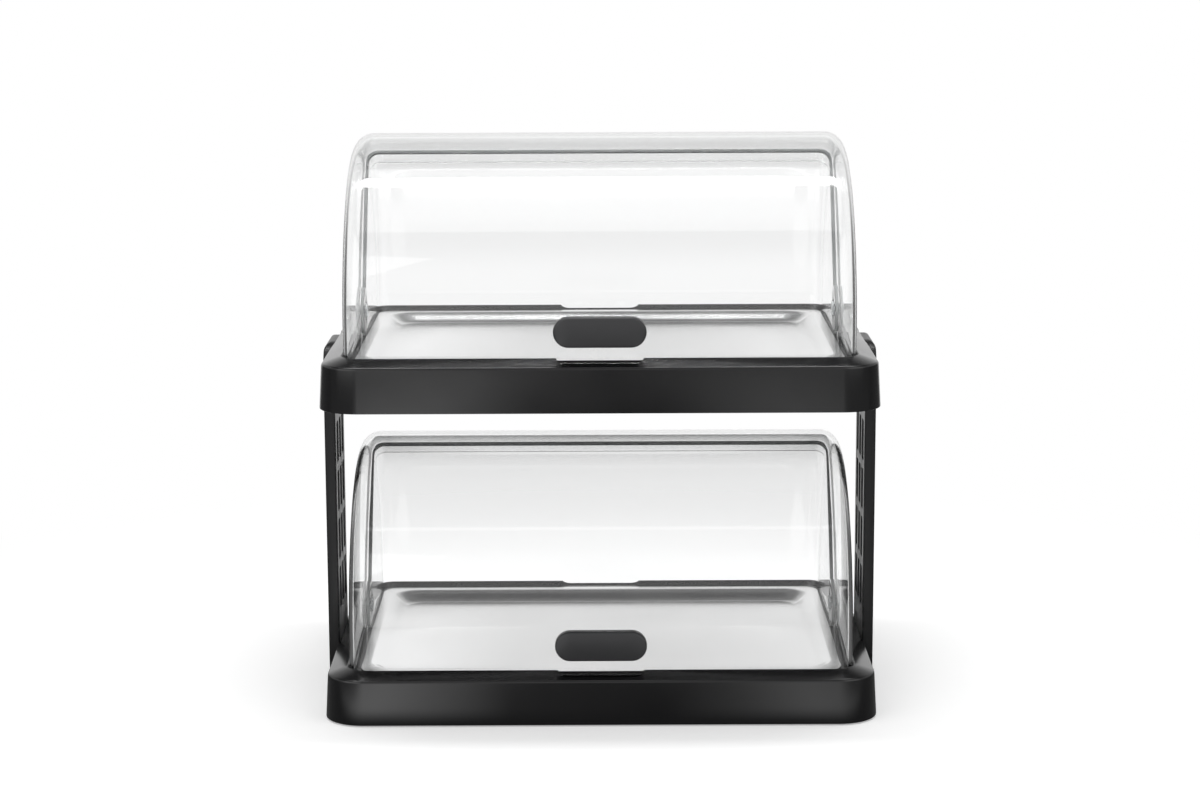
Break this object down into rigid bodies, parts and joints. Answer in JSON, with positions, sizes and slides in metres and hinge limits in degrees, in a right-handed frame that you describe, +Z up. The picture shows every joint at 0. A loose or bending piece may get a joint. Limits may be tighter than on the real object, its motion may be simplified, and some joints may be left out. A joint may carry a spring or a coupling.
{
  "type": "two-tier chilled roll-top display",
  "caption": "Two-tier countertop chilled display: black bases with cool packs under steel trays, clear roll-top hoods and lattice side panels.",
  "frame": {"origin": "on the table, under the middle of the display", "axes": "+X to the right seen from the front, -Y the front with the handles, +Z up"},
  "size_m": [0.4534, 0.32, 0.4554],
  "materials": {
    "black_base": "satin",
    "black_panel": "satin",
    "black_handle": "satin",
    "clear_hood": "clear polished",
    "translucent_pivot": "translucent",
    "stainless_tray": "brushed",
    "cool_pack": "matte",
    "screw_steel": "plain",
    "foot_rubber": "matte"
  },
  "bodies": {
    "cabinet": {"lower_base": "black_base", "lower_cool_pack_left": "cool_pack", "lower_cool_pack_right": "cool_pack", "lower_tray": "stainless_tray", "lower_rear_hood": "clear_hood", "lower_pivot_pin_left": "translucent_pivot", "lower_pivot_cap_left": "translucent_pivot", "lower_pivot_pin_right": "translucent_pivot", "lower_pivot_cap_right": "translucent_pivot", "lower_panel_screw_left_front": "screw_steel", "lower_panel_screw_left_rear": "screw_steel", "lower_panel_screw_right_front": "screw_steel", "lower_panel_screw_right_rear": "screw_steel", "upper_base": "black_base", "upper_cool_pack_left": "cool_pack", "upper_cool_pack_right": "cool_pack", "upper_tray": "stainless_tray", "upper_rear_hood": "clear_hood", "upper_pivot_pin_left": "translucent_pivot", "upper_pivot_cap_left": "translucent_pivot", "upper_pivot_pin_right": "translucent_pivot", "upper_pivot_cap_right": "translucent_pivot", "upper_panel_screw_left_front": "screw_steel", "upper_panel_screw_left_rear": "screw_steel", "upper_panel_screw_right_front": "screw_steel", "upper_panel_screw_right_rear": "screw_steel", "left_side_panel": "black_panel", "right_side_panel": "black_panel", "foot_left_front": "foot_rubber", "foot_left_rear": "foot_rubber", "foot_right_front": "foot_rubber", "foot_right_rear": "foot_rubber"},
    "lower_hood": {"lower_front_hood": "clear_hood", "lower_pivot_bush_left": "translucent_pivot", "lower_pivot_bush_right": "translucent_pivot", "lower_handle": "black_handle", "lower_handle_plate": "black_handle", "lower_handle_screw_left": "screw_steel", "lower_handle_screw_right": "screw_steel"},
    "upper_hood": {"upper_front_hood": "clear_hood", "upper_pivot_bush_left": "translucent_pivot", "upper_pivot_bush_right": "translucent_pivot", "upper_handle": "black_handle", "upper_handle_plate": "black_handle", "upper_handle_screw_left": "screw_steel", "upper_handle_screw_right": "screw_steel"}
  },
  "joints": [
    {"name": "lower_hood_roll", "type": "hinge", "parent": "cabinet", "child": "lower_hood", "pos_m": [0, 0, 0.0595], "axis": [-1, 0, 0], "range_deg": [0, 62]},
    {"name": "upper_hood_roll", "type": "hinge", "parent": "cabinet", "child": "upper_hood", "pos_m": [0, 0, 0.3095], "axis": [-1, 0, 0], "range_deg": [0, 62]}
  ]
}
